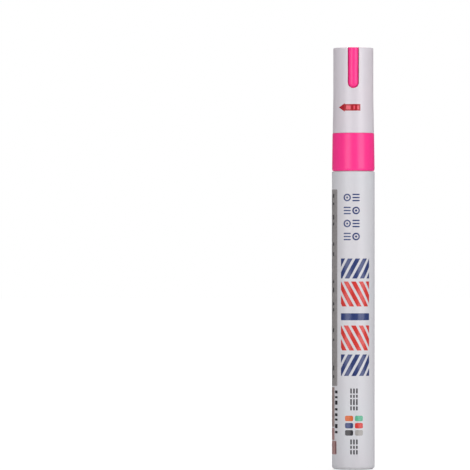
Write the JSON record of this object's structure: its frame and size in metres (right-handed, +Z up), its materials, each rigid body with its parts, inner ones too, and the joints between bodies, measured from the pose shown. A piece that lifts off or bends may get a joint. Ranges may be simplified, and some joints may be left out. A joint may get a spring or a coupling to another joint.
{
  "type": "touch-up paint pen",
  "caption": "Capped paint marker: white lacquered barrel, pink ring and slot in a white cap, sprung valve behind a bullet fibre nib, loose mixing balls.",
  "frame": {"origin": "centre of the barrel's base, on the surface that the pen stands on", "axes": "+Z up along the pen's axis from the base to the top of the cap, -Y towards the slot of the cap (the front), +X to the right as seen from the front"},
  "size_m": [0.014, 0.014, 0.138],
  "materials": {
    "barrel_lacquer": "pearl white lacquer with small printed blocks",
    "cap_plastic": "pearl white, glossy",
    "pink_plastic": "glossy pink",
    "white_plastic": "moulded white, satin",
    "natural_plastic": "natural, slightly waxy",
    "grey_plastic": "moulded grey",
    "black_rubber": "matt black",
    "spring_steel": "drawn stainless wire",
    "ball_steel": "polished steel",
    "nib_fibre": "ground fibre, its tip stained pink by the paint",
    "white_felt": "bonded felt",
    "blue_ink": "printed blue blocks",
    "red_ink": "printed red blocks and arrow",
    "panel_ink": "printed grey panel",
    "dark_ink": "printed fine dark marks",
    "chip_ink": "printed row of small colour chips"
  },
  "bodies": {
    "pen": {"barrel": "barrel_lacquer", "front_section": "white_plastic", "barrel_gasket": "black_rubber", "valve_seat": "black_rubber", "valve_cage": "natural_plastic", "valve_spring": "spring_steel", "nib_holder": "white_plastic", "overflow_felt": "white_felt"},
    "nib": {"nib": "nib_fibre"},
    "valve_stem": {"valve_stem": "grey_plastic"},
    "ball_1": {"mixing_ball_1": "ball_steel"},
    "ball_2": {"mixing_ball_2": "ball_steel"},
    "cap_liner": {"inner_cap": "natural_plastic"},
    "cap": {"cap_core": "pink_plastic", "cap_shell": "cap_plastic"}
  },
  "joints": [
    {"name": "cap_pull", "type": "slide", "parent": "pen", "child": "cap_liner", "axis": [0, 0, 1], "range_m": [0, 0.045]},
    {"name": "cap_turn", "type": "hinge", "parent": "cap_liner", "child": "cap", "pos_m": [0, 0, 0.11], "axis": [0, 0, 1], "continuous": true},
    {"name": "nib_press", "type": "slide", "parent": "pen", "child": "nib", "axis": [0, 0, -1], "range_m": [0, 0.002], "stiffness_N_per_m": 600, "springref_m": -0.001},
    {"name": "valve_open", "type": "slide", "parent": "pen", "child": "valve_stem", "axis": [0, 0, -1], "range_m": [0, 0.002], "deforming": ["valve_spring"]},
    {"name": "ball_1_drop", "type": "slide", "parent": "pen", "child": "ball_1", "axis": [0, 0, 1], "range_m": [0, 0.07]},
    {"name": "ball_2_drop", "type": "slide", "parent": "pen", "child": "ball_2", "axis": [0, 0, 1], "range_m": [0, 0.07]}
  ],
  "couplings": [
    {"joint": "valve_open", "follows": "nib_press", "ratio": 1}
  ]
}
